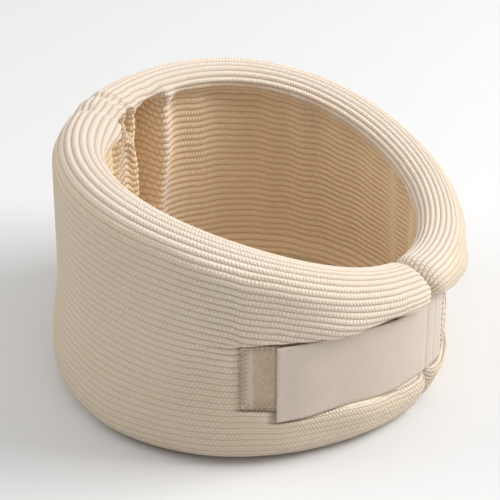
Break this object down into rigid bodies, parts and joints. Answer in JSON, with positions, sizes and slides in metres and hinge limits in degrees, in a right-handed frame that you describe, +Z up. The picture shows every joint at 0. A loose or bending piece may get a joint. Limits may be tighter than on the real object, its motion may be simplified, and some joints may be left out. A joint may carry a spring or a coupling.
{
  "type": "cervical collar",
  "caption": "Soft cervical collar: padded foam strip in a ribbed knit tube, bent to a ring, taller at the chin, closed at the nape by a hook-and-loop strap over a sewn loop patch.",
  "frame": {"origin": "centre of the ring's box, on the surface that the lower rim rests on", "axes": "+Z up along the neck, +Y towards the chin, -Y towards the closure at the nape, -X towards the side that carries the loop patch"},
  "size_m": [0.1743, 0.1711, 0.1107],
  "materials": {
    "knit": "ribbed cotton knit, beige",
    "foam": "open-cell polyurethane foam",
    "strap": "woven nylon hook tape, smooth back",
    "hooks": "nylon hooks",
    "loop": "brushed loop pile",
    "thread": "polyester sewing thread"
  },
  "bodies": {
    "left_half": {"foam_core_left": "foam", "knit_cover_left": "knit", "end_seam_left": "thread", "loop_patch": "loop", "patch_stitching": "thread"},
    "right_half": {"foam_core_right": "foam", "knit_cover_right": "knit", "end_seam_right": "thread", "strap_anchor": "strap", "anchor_stitching": "thread"},
    "strap_bridge": {"strap_bridge": "strap"},
    "strap_tail": {"strap_tail": "strap", "hook_face": "hooks"}
  },
  "joints": [
    {"name": "collar_open", "type": "hinge", "parent": "left_half", "child": "right_half", "pos_m": [0.0016, 0.0855, 0], "axis": [0, 0, 1], "range_deg": [0, 60], "stiffness_Nm_per_rad": 0.05},
    {"name": "strap_swing", "type": "hinge", "parent": "right_half", "child": "strap_bridge", "pos_m": [0.0136, -0.08501, 0.0378], "axis": [0, 0, 1], "range_deg": [0, 75]},
    {"name": "strap_peel", "type": "hinge", "parent": "strap_bridge", "child": "strap_tail", "pos_m": [0.0016, -0.085, 0.0378], "axis": [0, 0, 1], "range_deg": [0, 90]}
  ],
  "couplings": [
    {"joint": "strap_swing", "follows": "collar_open", "ratio": 1.25}
  ]
}
